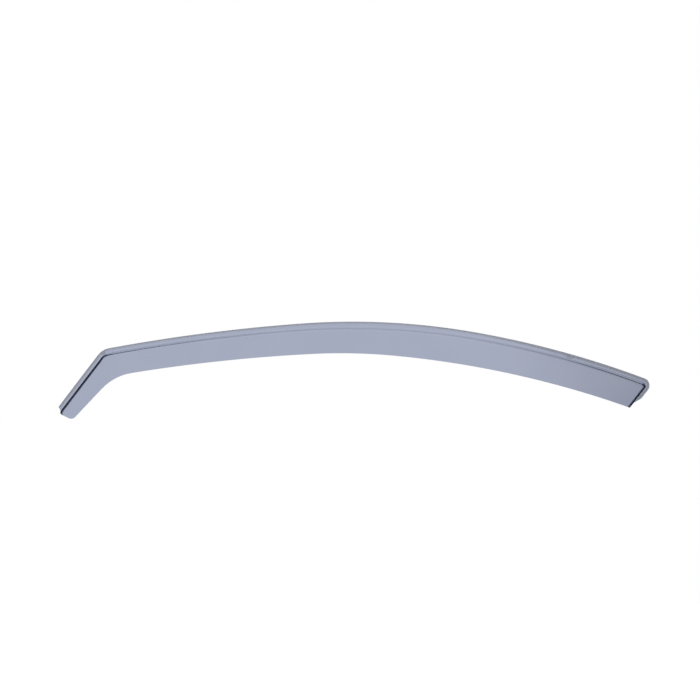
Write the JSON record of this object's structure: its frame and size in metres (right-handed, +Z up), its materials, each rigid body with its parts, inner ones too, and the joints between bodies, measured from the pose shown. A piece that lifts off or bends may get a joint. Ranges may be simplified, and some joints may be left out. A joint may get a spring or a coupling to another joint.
{
  "type": "window rain deflector",
  "caption": "Smoked acrylic rain deflector for a car door's side window: an arched, bowed blade stepped out from a thin channel lip.",
  "frame": {"origin": "on the lip's outer face, at the crown of its upper edge", "axes": "+X towards the rear of the car, +Y into the car, +Z up, the way the lip is pushed into the window channel"},
  "size_m": [0.956, 0.0311, 0.1566],
  "materials": {
    "smoked_acrylic": "polished, clear smoke tint"
  },
  "bodies": {
    "root": {"deflector": "smoked_acrylic"}
  },
  "joints": []
}
